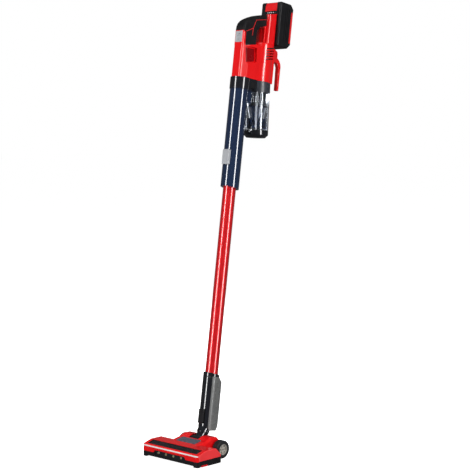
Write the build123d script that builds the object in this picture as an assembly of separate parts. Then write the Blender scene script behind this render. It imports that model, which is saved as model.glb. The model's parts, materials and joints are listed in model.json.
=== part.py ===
from build123d import *
import os
from math import cos, radians, sin

# Cordless stick vacuum cleaner.  +X is the width, -Y the front of the floor head, +Z up.
# The stick leans back (+Y) as it stands.  Millimetres.
os.makedirs("parts", exist_ok=True)

# ------------------------------------------------------------------ driving sizes
GAP = 0.3                  # air between pieces that move past each other
WALL = 2.4                 # moulded wall thickness

HEAD_HALF_WIDTH = 104.0    # floor head
HEAD_FRONT_Y = -126.0      # measured from the wheel axle
SIDE_REAR_Y = -35.0
SOLE_Z = 2.5               # clearance under the sole
SIDE_PANEL_T = 2.5
TAIL_HALF_WIDTH = 53.0     # narrow rear part between the wheels
TAIL_REAR_Y = 8.0

WHEEL_R = 24.0
WHEEL_INNER_X = 56.0
WHEEL_OUTER_X = 74.0
ROLLER_X, ROLLER_Y, ROLLER_R = 60.0, -54.0, 6.2    # small rollers behind the suction mouth

BRUSH_Y, BRUSH_Z = -93.0, 19.0
BRUSH_CORE_R, BRUSH_TIP_R = 12.0, 18.0
BRUSH_HALF_LENGTH = 86.0
SPINDLE_R = 3.0
BUSH_X, BUSH_R = 89.0, 5.2    # plain bearings at both ends of the brush roll
HEAD_MOTOR_Y, HEAD_MOTOR_Z = -58.5, 25.0
HEAD_MOTOR_R = 9.5
BELT_X = -95.5             # middle of the belt
BELT_WIDTH = 4.0
BRUSH_PULLEY_R, PINION_R = 8.0, 4.8

PITCH_Y, PITCH_Z = -21.0, 37.4   # neck pitch axis
BARREL_R = 16.0
INCLINE = 39.0             # swivel axis, degrees back from upright
LEAN = 8.14                # stick, degrees back from upright
ELBOW_REACH = 54.0         # pitch axis to the crossing of swivel axis and stick axis
ELBOW_BELOW_TUBE = 137.0   # that crossing, below the visible lower end of the tube
STUB_R = 13.0

TUBE_R = 17.5
TUBE_WALL = 1.4
TUBE_VISIBLE = 500.0
TUBE_LOWER_PLUG = 45.0
TUBE_UPPER_PLUG = 46.0

NECK_R = 22.0
NECK_REAR_Y = 11.0         # centre of the rear half of the neck's section
NECK_LENGTH = 152.0
NECK_SEAM_Y = -13.0

DUCT_R = 25.0
DUCT_TOP = 768.0           # stick heights are measured from the lower end of the visible tube
BODY_BOTTOM = 800.0
BODY_FRONT_Y = -21.0
GRIP_REAR_Y = 31.0         # back of the part that the fingers close round
BODY_HALF_WIDTH = 25.0
BAR_HALF_WIDTH = 16.5      # handle bar
BAR_EDGE_R = 4.5
MOTOR_HOUSING_TOP = 906.0
UPPER_BULGE_Y, UPPER_BULGE_R, UPPER_BULGE_TOP = 80.0, 21.5, 951.0
COLUMN_FRONT_Y = 66.0      # front of the column that carries the battery
VENT_COUNT, VENT_TOP, VENT_PITCH, VENT_TILT = 5, 893.6, 7.2, 12
MOTOR_Y = 72.0             # suction motor and bin centre
MOTOR_HOUSING_R = 33.5
DOCK_Y = 95.0              # face that carries the battery

BATTERY_HALF_WIDTH = 36.0
BATTERY_DEPTH = 55.0
BATTERY_BOTTOM, BATTERY_TOP = 905.0, 1029.0

BIN_TILT = 4.6
BIN_R = 34.0
BIN_WALL = 1.8
BIN_LENGTH = 152.0
BIN_BAND_LENGTH = 29.0
BIN_FLAP_LENGTH = 20.0

# ------------------------------------------------------------------ helpers


def block(x0, x1, y0, y1, z0, z1):
    return Pos((x0 + x1) / 2, (y0 + y1) / 2, (z0 + z1) / 2) * Box(x1 - x0, y1 - y0, z1 - z0)


def disc_x(y, z, radius, x0, x1):
    return Pos((x0 + x1) / 2, y, z) * Rot(0, 90, 0) * Cylinder(radius, x1 - x0)


def post(x, y, radius, z0, z1):
    return Pos(x, y, (z0 + z1) / 2) * Cylinder(radius, z1 - z0)


def plate_yz(points, x0, x1):
    face = make_face(Polyline(*points, close=True))
    return extrude(Plane.YZ.offset(x0) * face, amount=x1 - x0)


def soften(part, radius, edges):
    return fillet(edges, radius) if len(edges) else part


def both_sides(part):
    return part + mirror(part, about=Plane.YZ)


def solids_of(part):
    return Compound(part.solids())


def largest_solid(part):
    return max(part.solids(), key=lambda solid: solid.volume)


# ------------------------------------------------------------------ placing

SIN_LEAN, COS_LEAN = sin(radians(LEAN)), cos(radians(LEAN))
SIN_INCLINE, COS_INCLINE = sin(radians(INCLINE)), cos(radians(INCLINE))
ELBOW_Y = PITCH_Y + ELBOW_REACH * SIN_INCLINE
ELBOW_Z = PITCH_Z + ELBOW_REACH * COS_INCLINE
STICK_Y = ELBOW_Y + ELBOW_BELOW_TUBE * SIN_LEAN
STICK_Z = ELBOW_Z + ELBOW_BELOW_TUBE * COS_LEAN

STICK = Location((0, STICK_Y, STICK_Z), (-LEAN, 0, 0))
STUB = Location((0, PITCH_Y, PITCH_Z), (-INCLINE, 0, 0))
BIN = STICK * Location((0, MOTOR_Y, BODY_BOTTOM), (BIN_TILT, 0, 0))

# ------------------------------------------------------------------ floor head

ROOF_Z = 42.5
FRONT_TOP_Z = 33.0
BAND_BOTTOM_Z = 17.0
LIGHT_BOTTOM_Z, LIGHT_TOP_Z = 13.0, 24.0
LIGHT_Z = 18.5
BAND_TOP_Z = 30.0
COVER_BOTTOM_Z = 18.0
PLAN_CORNER_R = 9.0
HUMP_TOP_Z = 56.0
SLOT_HALF_WIDTH = 18.5


# corner number in the profile -> radius
WIDE_ROUNDS = {2: 6, 3: 18, 4: 10, 5: 4}
HUMP_ROUNDS = {3: 30, 4: 12, 5: 12, 6: 4}
HUMP_EDGE_R = 7.0


def head_plan(inset=0.0):
    """Plan outline of the wide part, as a tall block with rounded corners."""
    depth = SIDE_REAR_Y - HEAD_FRONT_Y
    outline = RectangleRounded(
        2 * (HEAD_HALF_WIDTH - inset), depth - 2 * inset, PLAN_CORNER_R - inset / 2
    )
    return extrude(Pos(0, (SIDE_REAR_Y + HEAD_FRONT_Y) / 2, 0) * outline, amount=90)


WIDE_PROFILE = [
    (HEAD_FRONT_Y, COVER_BOTTOM_Z),
    (HEAD_FRONT_Y, BAND_TOP_Z),
    (HEAD_FRONT_Y + 4, FRONT_TOP_Z + 2),
    (-95, ROOF_Z),
    (-56, ROOF_Z),
    (SIDE_REAR_Y, COVER_BOTTOM_Z + 2),
    (SIDE_REAR_Y, COVER_BOTTOM_Z),
]

HUMP_PROFILE = [
    (-94, COVER_BOTTOM_Z),
    (-94, ROOF_Z),
    (-70, ROOF_Z + 1),
    (-40, 49.0),
    (-22, HUMP_TOP_Z),
    (0, HUMP_TOP_Z - 1),
    (TAIL_REAR_Y, 47.0),
    (TAIL_REAR_Y, COVER_BOTTOM_Z),
]


def rounded_profile(points, rounds, inset):
    """Side outline with its listed corners rounded, drawn in by the wall's thickness."""
    face = make_face(Polyline(*points, close=True))
    for index, radius in rounds.items():
        y, z = points[index]
        corner = face.vertices().sort_by_distance((y, z, 0))[0]
        face = fillet(corner, radius)
    return offset(face, -inset) if inset else face


def cover_hull(inset):
    half = HEAD_HALF_WIDTH - SIDE_PANEL_T - inset
    tail = TAIL_HALF_WIDTH - inset
    wide_face = rounded_profile(WIDE_PROFILE, WIDE_ROUNDS, inset)
    hump_face = rounded_profile(HUMP_PROFILE, HUMP_ROUNDS, inset)
    wide = extrude(Plane.YZ.offset(-half) * wide_face, amount=2 * half) & head_plan(inset)
    hump = extrude(Plane.YZ.offset(-tail) * hump_face, amount=2 * tail)
    top_sides = hump.edges().filter_by(
        lambda e: abs(abs(e.center().X) - tail) < 0.1 and e.center().Z > ROOF_Z - inset
    )
    hump = fillet(top_sides, HUMP_EDGE_R - inset)
    return wide + hump


def neck_slot():
    """Opening that the stub swings through, and the barrel's round pocket."""
    slot = block(-SLOT_HALF_WIDTH, SLOT_HALF_WIDTH, PITCH_Y - 17, 40, PITCH_Z - 5, 90)
    low = block(-SLOT_HALF_WIDTH, SLOT_HALF_WIDTH, PITCH_Y, 40, 14, 90)
    pocket = disc_x(PITCH_Y, PITCH_Z, BARREL_R + 1, -21, 21)
    return slot + low + pocket


WINDOW = dict(x=92.0, y0=-118.5, y1=-97.0)


def window_opening():
    return block(-WINDOW["x"], WINDOW["x"], WINDOW["y0"], WINDOW["y1"], 30, 60)


def head_cover():
    cover = cover_hull(0) - cover_hull(WALL)
    floor_cut = block(-120, 120, -130, 30, 0, COVER_BOTTOM_Z + WALL)
    rim = (cover_hull(0) & floor_cut) - block(
        -HEAD_HALF_WIDTH + SIDE_PANEL_T + WALL, HEAD_HALF_WIDTH - SIDE_PANEL_T - WALL,
        HEAD_FRONT_Y + WALL, TAIL_REAR_Y - WALL, 0, 60,
    )
    cover = cover - floor_cut + rim
    cover = cover - neck_slot() - window_opening()
    cover = cover - badge_recess() - band_space()
    cover = cover - disc_x(0, WHEEL_R, 3.0, -60, 60)
    return cover & block(-120, 120, -130, 30, COVER_BOTTOM_Z, 90)


def badge_tilt():
    return Location((0, -55, 46.2), (11.3, 0, 0))


def badge_recess():
    return badge_tilt() * Box(70.6, 27.6, 2.4)


def badge_plate():
    return badge_tilt() * Pos(0, 0, -0.9) * extrude(RectangleRounded(70, 27, 4), amount=1.6)


def band_space():
    """Room at the front for the bumper band and the trim strip."""
    return block(-120, 120, HEAD_FRONT_Y - 1, HEAD_FRONT_Y + 5, 0, FRONT_TOP_Z)


def head_window():
    slope = plate_yz(
        [(-121.5, 32.2), (-118.5, 35.6), (-96.4, 41.9), (-93, 41.9), (-93, 40.0), (-117.5, 33.0)],
        -WINDOW["x"] + 0.2, WINDOW["x"] - 0.2,
    )
    inside = block(-WINDOW["x"] + 0.2, WINDOW["x"] - 0.2, WINDOW["y0"] + 0.1, WINDOW["y1"] - 0.1, 0, 90)
    return slope & inside


def side_panel():
    points = [(HEAD_FRONT_Y + 2, COVER_BOTTOM_Z), (HEAD_FRONT_Y + 2, 32.6), (-95, 42), (-58, 42),
              (SIDE_REAR_Y, COVER_BOTTOM_Z + 2), (SIDE_REAR_Y, COVER_BOTTOM_Z)]
    inner = HEAD_HALF_WIDTH - SIDE_PANEL_T
    panel = plate_yz(points, inner, HEAD_HALF_WIDTH) - band_space()
    panel = panel & head_plan()
    outer_rim = panel.edges().filter_by(lambda e: e.center().X > HEAD_HALF_WIDTH - 0.1)
    return soften(panel, 1.2, outer_rim)


def side_panels():
    right = side_panel()
    return Compound([right, mirror(right, about=Plane.YZ)])


LIGHT_HALF_WIDTH = 54.0
LIGHT_PLACES = [-42, -14, 14, 42]


def front_band():
    """Red bumper across the front, with a notch in its lower edge for the light bar."""
    inner = block(-HEAD_HALF_WIDTH + 3, HEAD_HALF_WIDTH - 3, HEAD_FRONT_Y + 3, SIDE_REAR_Y + 9, -1, 99)
    ring = head_plan() - inner
    band = ring & block(-120, 120, HEAD_FRONT_Y, HEAD_FRONT_Y + 5, BAND_BOTTOM_Z, BAND_TOP_Z)
    notch = make_face(Polyline(
        (-LIGHT_HALF_WIDTH - 6, 0), (-LIGHT_HALF_WIDTH - 6, BAND_BOTTOM_Z), (-LIGHT_HALF_WIDTH, LIGHT_TOP_Z),
        (LIGHT_HALF_WIDTH, LIGHT_TOP_Z), (LIGHT_HALF_WIDTH + 6, BAND_BOTTOM_Z), (LIGHT_HALF_WIDTH + 6, 0),
        close=True))
    cut = extrude(Plane.XZ.offset(-HEAD_FRONT_Y + 9) * notch, amount=-20)
    return band - cut


def trim_strip():
    bar = block(-HEAD_HALF_WIDTH + 3, HEAD_HALF_WIDTH - 3, HEAD_FRONT_Y, HEAD_FRONT_Y + 4.9,
                BAND_TOP_Z, FRONT_TOP_Z)
    return bar & head_plan()


def light_bar():
    bar = block(-LIGHT_HALF_WIDTH, LIGHT_HALF_WIDTH, HEAD_FRONT_Y + 1.5, HEAD_FRONT_Y + 4,
                LIGHT_BOTTOM_Z, LIGHT_TOP_Z)
    for x in LIGHT_PLACES:
        bar -= Pos(x, HEAD_FRONT_Y + 1.5, LIGHT_Z) * Rot(90, 0, 0) * Cylinder(3.6, 3)
    return bar


def light_lenses():
    lenses = []
    for x in LIGHT_PLACES:
        lens = Pos(x, HEAD_FRONT_Y + 1.5, LIGHT_Z) * Rot(90, 0, 0) * Cylinder(3.6, 3)
        lenses.append(fillet(lens.edges().sort_by(Axis.Y)[0], 1.2))
    return Compound(lenses)


MOUTH = dict(x=88.0, y0=-116.0, y1=-70.0)


def head_base():
    half = HEAD_HALF_WIDTH
    wide = head_plan() & block(-half, half, HEAD_FRONT_Y, SIDE_REAR_Y, SOLE_Z, COVER_BOTTOM_Z)
    tail = block(-TAIL_HALF_WIDTH, TAIL_HALF_WIDTH, SIDE_REAR_Y - 5, TAIL_REAR_Y,
                 SOLE_Z + 6, COVER_BOTTOM_Z)
    base = wide + tail
    hollow = block(-half + 4, half - 4, HEAD_FRONT_Y + 5, SIDE_REAR_Y - 2.5, SOLE_Z + 2.4, 40)
    tail_inner = TAIL_HALF_WIDTH - 2.5
    tail_hollow = block(-tail_inner, tail_inner, SIDE_REAR_Y - 6, TAIL_REAR_Y - 2.5, SOLE_Z + 8.4, 40)
    base = base - hollow - tail_hollow
    mouth = block(-MOUTH["x"], MOUTH["x"], MOUTH["y0"], MOUTH["y1"], -1, 12)
    base = base - mouth
    rear_wall = block(-half + 4, half - 4, -70, -68.6, SOLE_Z + 2.4, COVER_BOTTOM_Z)
    rear_wall += block(-half + 6, half - 6, -70, -68.6, COVER_BOTTOM_Z, 30)
    rear_wall -= block(-13.8, 13.8, -72, -60, 12.2, 34)
    base = base + rear_wall
    for sign in (-1, 1):
        x = sign * BUSH_X
        bearing = block(x - 1.5, x + 1.5, BRUSH_Y - 9, BRUSH_Y + 9, SOLE_Z + 2, 27)
        base += bearing - disc_x(BRUSH_Y, BRUSH_Z, BUSH_R, x - 3, x + 3)
        x = sign * 23.5
        cheek = block(x - 1.5, x + 1.5, PITCH_Y - 12, PITCH_Y + 12, SOLE_Z + 8, 43)
        base += cheek - disc_x(PITCH_Y, PITCH_Z, 4.05, x - 3, x + 3)
        x = sign * ROLLER_X
        base -= block(x - 11, x + 11, ROLLER_Y - 8, ROLLER_Y + 8, -1, 12)
        base += disc_x(ROLLER_Y, ROLLER_R, 1.5, x - 11.5, x + 11.5)
    base -= disc_x(PITCH_Y, PITCH_Z, BARREL_R + 1, -21, 21)
    base = base - latch_bay() - band_space_low() - belt_notch() - light_space() - front_intake()
    base = base + suction_channel()
    for place in head_screw_places():
        base -= place * screw(8)
    return base


def band_space_low():
    """Room in the base's front wall for the bumper band."""
    return block(-120, 120, HEAD_FRONT_Y - 1, HEAD_FRONT_Y + 5, BAND_BOTTOM_Z, 40)


def light_space():
    """Recess in the base's front wall that the light bar sits in."""
    return block(-LIGHT_HALF_WIDTH - 0.2, LIGHT_HALF_WIDTH + 0.2, HEAD_FRONT_Y - 1, HEAD_FRONT_Y + 4,
                 LIGHT_BOTTOM_Z, 40)


def front_intake():
    """Raised edge of the front wall between the two ends, where coarse dirt gets in."""
    return block(-MOUTH["x"], MOUTH["x"], HEAD_FRONT_Y - 1, MOUTH["y0"] + 1, 0, SOLE_Z + 3.5)


def belt_notch():
    return block(-100, BELT_X + 3.5, -80, -60, 6, 40)


def latch_bay():
    return block(HEAD_HALF_WIDTH - 4.3, HEAD_HALF_WIDTH + 1, -118.3, -87.7, SOLE_Z - 1, 7.6)


def roll_release_latch():
    tab = block(HEAD_HALF_WIDTH - 4, HEAD_HALF_WIDTH, -112, -90, SOLE_Z + 0.3, 7.3)
    return fillet(tab.edges().filter_by(Axis.X), 1.0)


def suction_channel():
    outer = block(-15.8, 15.8, -68.6, PITCH_Y - BARREL_R - 1.2, 4.8, 36)
    inner = block(-13.8, 13.8, -80, 0, 12.2, 34)
    return outer - inner


def brush_core():
    core = disc_x(BRUSH_Y, BRUSH_Z, BRUSH_CORE_R, -BRUSH_HALF_LENGTH, BRUSH_HALF_LENGTH)
    spindle = disc_x(BRUSH_Y, BRUSH_Z, SPINDLE_R, BELT_X, BUSH_X + 1)
    pulley = disc_x(BRUSH_Y, BRUSH_Z, BRUSH_PULLEY_R, BELT_X - 3, BELT_X + 3)
    return core + spindle + pulley - brush_bristles()


def brush_bristles():
    """Four rows of tufts in a shallow V, from inside the core out to the tips."""
    root = BRUSH_CORE_R - 3
    tuft = Pos(0, 0, (root + BRUSH_TIP_R) / 2) * Box(8, 2.6, BRUSH_TIP_R - root)
    steps = 8
    tufts = []
    for row in range(4):
        for side in (-1, 1):
            for i in range(steps):
                x = side * (6 + i * (BRUSH_HALF_LENGTH - 12) / (steps - 1))
                turn = Rot(90 * row + 6 * i, 0, 0)
                tufts.append(Pos(x, BRUSH_Y, BRUSH_Z) * turn * tuft)
    return Compound(tufts)


def brush_bushes():
    bushes = []
    for x in (-BUSH_X, BUSH_X):
        ring = disc_x(BRUSH_Y, BRUSH_Z, BUSH_R, x - 1.5, x + 1.5)
        bushes.append(ring - disc_x(BRUSH_Y, BRUSH_Z, SPINDLE_R + 0.05, x - 3, x + 3))
    return Compound(bushes)


def belt_loop(extra):
    x0, x1 = BELT_X - BELT_WIDTH / 2, BELT_X + BELT_WIDTH / 2
    big = disc_x(BRUSH_Y, BRUSH_Z, BRUSH_PULLEY_R + extra, x0, x1)
    small = disc_x(HEAD_MOTOR_Y, HEAD_MOTOR_Z, PINION_R + extra, x0, x1)
    r0, r1 = BRUSH_PULLEY_R + extra, PINION_R + extra
    web = plate_yz(
        [(BRUSH_Y, BRUSH_Z - r0), (HEAD_MOTOR_Y, HEAD_MOTOR_Z - r1),
         (HEAD_MOTOR_Y, HEAD_MOTOR_Z + r1), (BRUSH_Y, BRUSH_Z + r0)],
        x0, x1,
    )
    return big + small + web


def drive_belt():
    return belt_loop(1.9) - belt_loop(GAP)


def motor_pinion():
    pinion = disc_x(HEAD_MOTOR_Y, HEAD_MOTOR_Z, PINION_R, BELT_X - 3, BELT_X + 3)
    shaft = disc_x(HEAD_MOTOR_Y, HEAD_MOTOR_Z, 1.6, BELT_X, -60)
    return pinion + shaft


def head_motor():
    can = disc_x(HEAD_MOTOR_Y, HEAD_MOTOR_Z, HEAD_MOTOR_R, -84, -24)
    can = fillet(can.edges().filter_by(GeomType.CIRCLE), 1.5)
    return can - disc_x(HEAD_MOTOR_Y, HEAD_MOTOR_Z, 1.9, -90, -58)


def wheel_tyre(sign):
    mid = sign * (WHEEL_INNER_X + WHEEL_OUTER_X) / 2
    half = (WHEEL_OUTER_X - WHEEL_INNER_X) / 2
    tyre = disc_x(0, WHEEL_R, WHEEL_R, mid - half, mid + half)
    tyre = fillet(tyre.edges().filter_by(GeomType.CIRCLE), 2.5)
    tyre -= disc_x(0, WHEEL_R, 15.5, mid - 20, mid + 20)
    for groove in (-4, 0, 4):
        ring = disc_x(0, WHEEL_R, WHEEL_R + 1, mid + groove - 0.6, mid + groove + 0.6)
        tyre -= ring - disc_x(0, WHEEL_R, WHEEL_R - 0.8, mid + groove - 1, mid + groove + 1)
    return tyre


def wheel_hub(sign):
    mid = sign * (WHEEL_INNER_X + WHEEL_OUTER_X) / 2
    half = (WHEEL_OUTER_X - WHEEL_INNER_X) / 2
    rim = disc_x(0, WHEEL_R, 15.5, mid - half, mid + half) - disc_x(0, WHEEL_R, 12.8, mid - 20, mid + 20)
    web = disc_x(0, WHEEL_R, 13, mid - 2, mid + 2)
    boss = disc_x(0, WHEEL_R, 5.5, mid - half, mid + half - 1)
    hub = rim + web + boss
    for i in range(6):
        spoke = Pos(mid, 0, WHEEL_R) * Rot(60 * i, 0, 0) * Pos(0, 0, 9) * Box(2 * half - 4, 2.2, 9)
        hub += spoke
    return hub - disc_x(0, WHEEL_R, 3.05, mid - 20, mid + 20)


def wheel_axles():
    axles = []
    for sign in (-1, 1):
        pin = disc_x(0, WHEEL_R, 3.0, sign * 57.2 - 11.2, sign * 57.2 + 11.2)
        head = disc_x(0, WHEEL_R, 5.0, sign * 46.4 - 0.8, sign * 46.4 + 0.8)
        axles.append(pin + head)
    return Compound(axles)


def front_roller(sign):
    x = sign * ROLLER_X
    roller = disc_x(ROLLER_Y, ROLLER_R, ROLLER_R, x - 10, x + 10)
    roller = fillet(roller.edges().filter_by(GeomType.CIRCLE), 1.0)
    return roller - disc_x(ROLLER_Y, ROLLER_R, 1.55, x - 12, x + 12)


def front_rollers():
    return Compound([front_roller(-1), front_roller(1)])


def screw(length=10, head_r=2.8, shank_r=1.5):
    body = Cylinder(shank_r, length, align=(Align.CENTER, Align.CENTER, Align.MAX))
    head = Cylinder(head_r, 1.8, align=(Align.CENTER, Align.CENTER, Align.MIN))
    return body + head


def head_screw_places():
    outer = [Pos(x, -44, SOLE_Z + 1.9) for x in (-96, 96)]
    inner = [Pos(x, -20, SOLE_Z + 7.9) for x in (-40, 40)]
    return [place * Rot(180, 0, 0) for place in outer + inner]


def head_screws():
    return Compound([place * screw(8) for place in head_screw_places()])


# ------------------------------------------------------------------ neck


def neck_yoke():
    barrel = disc_x(PITCH_Y, PITCH_Z, BARREL_R, -20, 20)
    barrel = fillet(barrel.edges().filter_by(GeomType.CIRCLE), 1.5)
    stub = STUB * post(0, 0, STUB_R, 5, 44)
    bore = STUB * post(0, 0, STUB_R - 2.2, 0, 60)
    inlet = block(-9, 9, PITCH_Y - 30, PITCH_Y, PITCH_Z - 12, PITCH_Z + 1)
    pins = disc_x(PITCH_Y, PITCH_Z, 4.05, -22, 22)
    return barrel + stub - bore - inlet - pins


def yoke_pins():
    return Compound([disc_x(PITCH_Y, PITCH_Z, 4.0, x - 5.5, x + 5.5) for x in (-19.5, 19.5)])


def swivel_ring():
    ring = STUB * post(0, 0, 15.2, 25, 28)
    ring = fillet(ring.edges().filter_by(GeomType.CIRCLE), 0.8)
    return ring - STUB * post(0, 0, STUB_R, 10, 44)


def elbow_hull():
    collar = STUB * post(0, 0, 16.0, 28.4, ELBOW_REACH)
    knuckle = Pos(0, ELBOW_Y, ELBOW_Z) * Sphere(19.0)
    throat = STICK * post(0, 0, 17.2, -ELBOW_BELOW_TUBE, -48)
    return collar + knuckle + throat


def neck_elbow():
    socket = STUB * post(0, 0, STUB_R + GAP, 20, 46)
    lower_bore = STUB * post(0, 0, STUB_R - 2.2, 20, ELBOW_REACH + 2)
    upper_bore = STICK * post(0, 0, 14.5, -ELBOW_BELOW_TUBE, -20)
    ball_bore = Pos(0, ELBOW_Y, ELBOW_Z) * Sphere(14.5)
    return elbow_hull() - socket - lower_bore - upper_bore - ball_bore


def neck_hull(inset, z0, z1):
    radius = NECK_R - inset
    outline = make_hull(
        (Pos(0, 0) * Circle(radius)).edges() + (Pos(0, NECK_REAR_Y) * Circle(radius)).edges()
    )
    return extrude(Pos(0, 0, z0) * outline, amount=z1 - z0)


def neck_taper_cut():
    """Wedge taken off the lower rear corner, so that the stick can lie far back."""
    return plate_yz([(40, -NECK_LENGTH - 1), (14, -NECK_LENGTH - 1), (40, -NECK_LENGTH + 40)], -40, 40)


def neck_shoulder(inset):
    """Cone that the top of the shells follows, so that they run out against the tube."""
    return Pos(0, 0, -34 - inset) * Cone(51, 21, 52)


def neck_shells():
    hull = neck_hull(0, -NECK_LENGTH, -8) & (neck_shoulder(0) + neck_hull(0, -NECK_LENGTH, -55))
    hollow = neck_hull(WALL, -NECK_LENGTH - 5, -8 - WALL)
    hollow = hollow & (neck_shoulder(WALL * 1.8) + neck_hull(WALL, -NECK_LENGTH - 5, -55))
    shells = hull - hollow - neck_taper_cut() - post(0, 0, 20.4, -30, 10)
    shelf = neck_hull(1, -118, -114) - post(0, 0, 17.6, -130, -90)
    shells = STICK * (shells + shelf)
    shells = shells - elbow_hull()
    swing = STUB * post(0, 0, 19.5, 0, 40)
    return shells - swing


def neck_front_shell():
    front = STICK * block(-40, 40, -40, NECK_SEAM_Y, -200, 0)
    window = STICK * block(-9.4, 9.4, -40, -10, -134.4, -95.6)
    return solids_of((neck_shells() & front) - window)


def neck_rear_shell():
    rear = STICK * block(-40, 40, NECK_SEAM_Y, 60, -200, 0)
    return solids_of(neck_shells() & rear)


def neck_collar():
    ring = post(0, 0, NECK_R, -8, 6)
    slant = Pos(0, 0, -1) * Rot(-11, 0, 0) * Pos(0, 0, 30) * Box(100, 100, 60)
    ring = fillet((ring - slant).edges().sort_by(Axis.Z)[-1], 1.5)
    sleeve = post(0, 0, 20.0, -30, -8)
    return STICK * (ring + sleeve - post(0, 0, TUBE_R + GAP, -60, 20))


def neck_button():
    key = block(-9, 9, -26.5, -21.6, -134, -96)
    key = fillet(key.edges().filter_by(Axis.Y), 3)
    key = fillet(key.faces().sort_by(Axis.Y)[0].edges(), 1.5)
    return STICK * key


# ------------------------------------------------------------------ tube


def wand_tube():
    top = TUBE_VISIBLE + TUBE_UPPER_PLUG
    tube = post(0, 0, TUBE_R, -TUBE_LOWER_PLUG, top) - post(0, 0, TUBE_R - TUBE_WALL, -100, top + 10)
    return STICK * tube


# ------------------------------------------------------------------ handheld unit


def inlet_duct():
    outer = post(0, 0, DUCT_R, TUBE_VISIBLE - 10, DUCT_TOP)
    mouth_slant = Pos(0, 0, TUBE_VISIBLE) * Rot(-9, 0, 0) * Pos(0, 0, -30) * Box(100, 100, 60)
    outer = outer - mouth_slant
    socket = post(0, 0, TUBE_R + GAP, 400, TUBE_VISIBLE + TUBE_UPPER_PLUG + 0.5)
    bore = post(0, 0, TUBE_R - 2, 400, DUCT_TOP + 5) + post(0, 0, DUCT_R - WALL, 612, DUCT_TOP - 3)
    button_bay = block(-12.4, 12.4, -40, -18.4, 560.6, 602.4)
    elbow = block(-13, 13, 15, 37.0, 735, DUCT_TOP) - block(-10.5, 10.5, 0, 60, 738, 762)
    ridge = block(-9, 9, 10, 27.5, 520, 735)
    ridge = fillet(ridge.edges().filter_by(Axis.Z), 3)
    return STICK * (outer + elbow + ridge - socket - bore - button_bay)


def duct_collar():
    """Sleeve between duct and casing, with the saddle that the bin leans against."""
    ring = post(0, 0, DUCT_R + 1.6, DUCT_TOP, BODY_BOTTOM)
    ring = fillet(ring.edges().filter_by(GeomType.CIRCLE).sort_by(Axis.Z)[0], 1.2)
    saddle = block(-22, 22, 8, 48, DUCT_TOP, BODY_BOTTOM)
    saddle = STICK * fillet(saddle.edges().filter_by(Axis.Z), 3)
    saddle = saddle - BIN * post(0, 0, BIN_R + 1.2, -80, 20) - STICK * latch_pocket()
    return STICK * (ring - post(0, 0, DUCT_R - WALL, 700, 796)) + (
        saddle - STICK * post(0, 0, DUCT_R - WALL, 700, 796))


def tube_button():
    key = block(-12, 12, -28.5, -21, 561, 602)
    key = fillet(key.edges().filter_by(Axis.Y), 3)
    key = fillet(key.faces().sort_by(Axis.Y)[0].edges(), 1.5)
    return STICK * key


ARCH_POINTS = [(-21, 926), (-15, 948), (10, 966), (44, 980), (80, 989.5), (95, 994)]
OPENING_POINTS = [(GRIP_REAR_Y, 897), (GRIP_REAR_Y, 934), (42, 946), (60, 953), (60, 897)]


def arch_line():
    return Spline(ARCH_POINTS[0], *ARCH_POINTS[1:-1], ARCH_POINTS[-1],
                  tangents=[(0, 1), (0.93, 0.3)])


def handle_side_face():
    """Side outline of everything above the duct, seen along X."""
    arch = arch_line()
    lines = Polyline((95, 994), (DOCK_Y, 898), (118, 893), (124, 880), (124, 866), (104, 862),
                     (104, BODY_BOTTOM), (BODY_FRONT_Y, BODY_BOTTOM), (BODY_FRONT_Y, 926))
    return make_face([arch, lines])


def body_hull():
    """Front column, battery column and motor bulge; widths follow the plan outline."""
    slab = extrude(Plane.YZ.offset(-BODY_HALF_WIDTH) * handle_side_face(), amount=2 * BODY_HALF_WIDTH)
    plan = make_face(Polyline(
        (-15, BODY_FRONT_Y), (15, BODY_FRONT_Y), (22, 2), (BODY_HALF_WIDTH, 30), (BODY_HALF_WIDTH, 100),
        (18, 124), (-18, 124), (-BODY_HALF_WIDTH, 100), (-BODY_HALF_WIDTH, 30), (-22, 2), close=True))
    plan_block = extrude(Pos(0, 0, 790) * plan, amount=220)
    plan_block = fillet(plan_block.edges().filter_by(Axis.Z), 6)
    column = (slab & plan_block) - handle_region()
    column = fillet(column.edges().filter_by(is_column_front), 8)
    lower = post(0, MOTOR_Y, MOTOR_HOUSING_R, BODY_BOTTOM, MOTOR_HOUSING_TOP)
    lower = fillet(lower.edges().filter_by(GeomType.CIRCLE).sort_by(Axis.Z)[-1], 5)
    upper = post(0, UPPER_BULGE_Y, UPPER_BULGE_R, 880, UPPER_BULGE_TOP)
    upper = fillet(upper.edges().filter_by(GeomType.CIRCLE).sort_by(Axis.Z)[-1], 3)
    bulge = (lower + upper) & block(-60, 60, 0, DOCK_Y, 790, 1000)
    return column + bulge + handle_bar()


def is_column_front(edge):
    """Upright front edges of the battery column."""
    spot = edge.center()
    return abs(spot.Y - COLUMN_FRONT_Y) < 0.1 and abs(spot.X) > BODY_HALF_WIDTH - 0.5 and edge.length > 40


def handle_region():
    """Everything that belongs to the handle: the top of the front column and the bar over the opening."""
    return plate_yz([(-40, 900), (-40, 1010), (COLUMN_FRONT_Y, 1010), (COLUMN_FRONT_Y, 900), (60, 895),
                     (-12, 890)], -60, 60)


def handle_bar():
    """Grip bar and the slim top of the front column, with rounded long edges."""
    ends = Polyline((95, 994), (82, 940), (64, 940), (64, 885), (BODY_FRONT_Y, 885), (BODY_FRONT_Y, 926))
    bar = extrude(Plane.YZ.offset(-BAR_HALF_WIDTH) * make_face([arch_line(), ends]), amount=2 * BAR_HALF_WIDTH)
    top = bar.edges().filter_by(lambda e: e.geom_type == GeomType.BSPLINE)
    front = bar.edges().filter_by(lambda e: abs(e.center().Y - BODY_FRONT_Y) < 0.1 and e.length > 30)
    return fillet(top + front, BAR_EDGE_R) - hand_opening()


def hand_opening():
    opening = plate_yz(OPENING_POINTS, -60, 60)
    return fillet(opening.edges().filter_by(Axis.X), 6)


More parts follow.
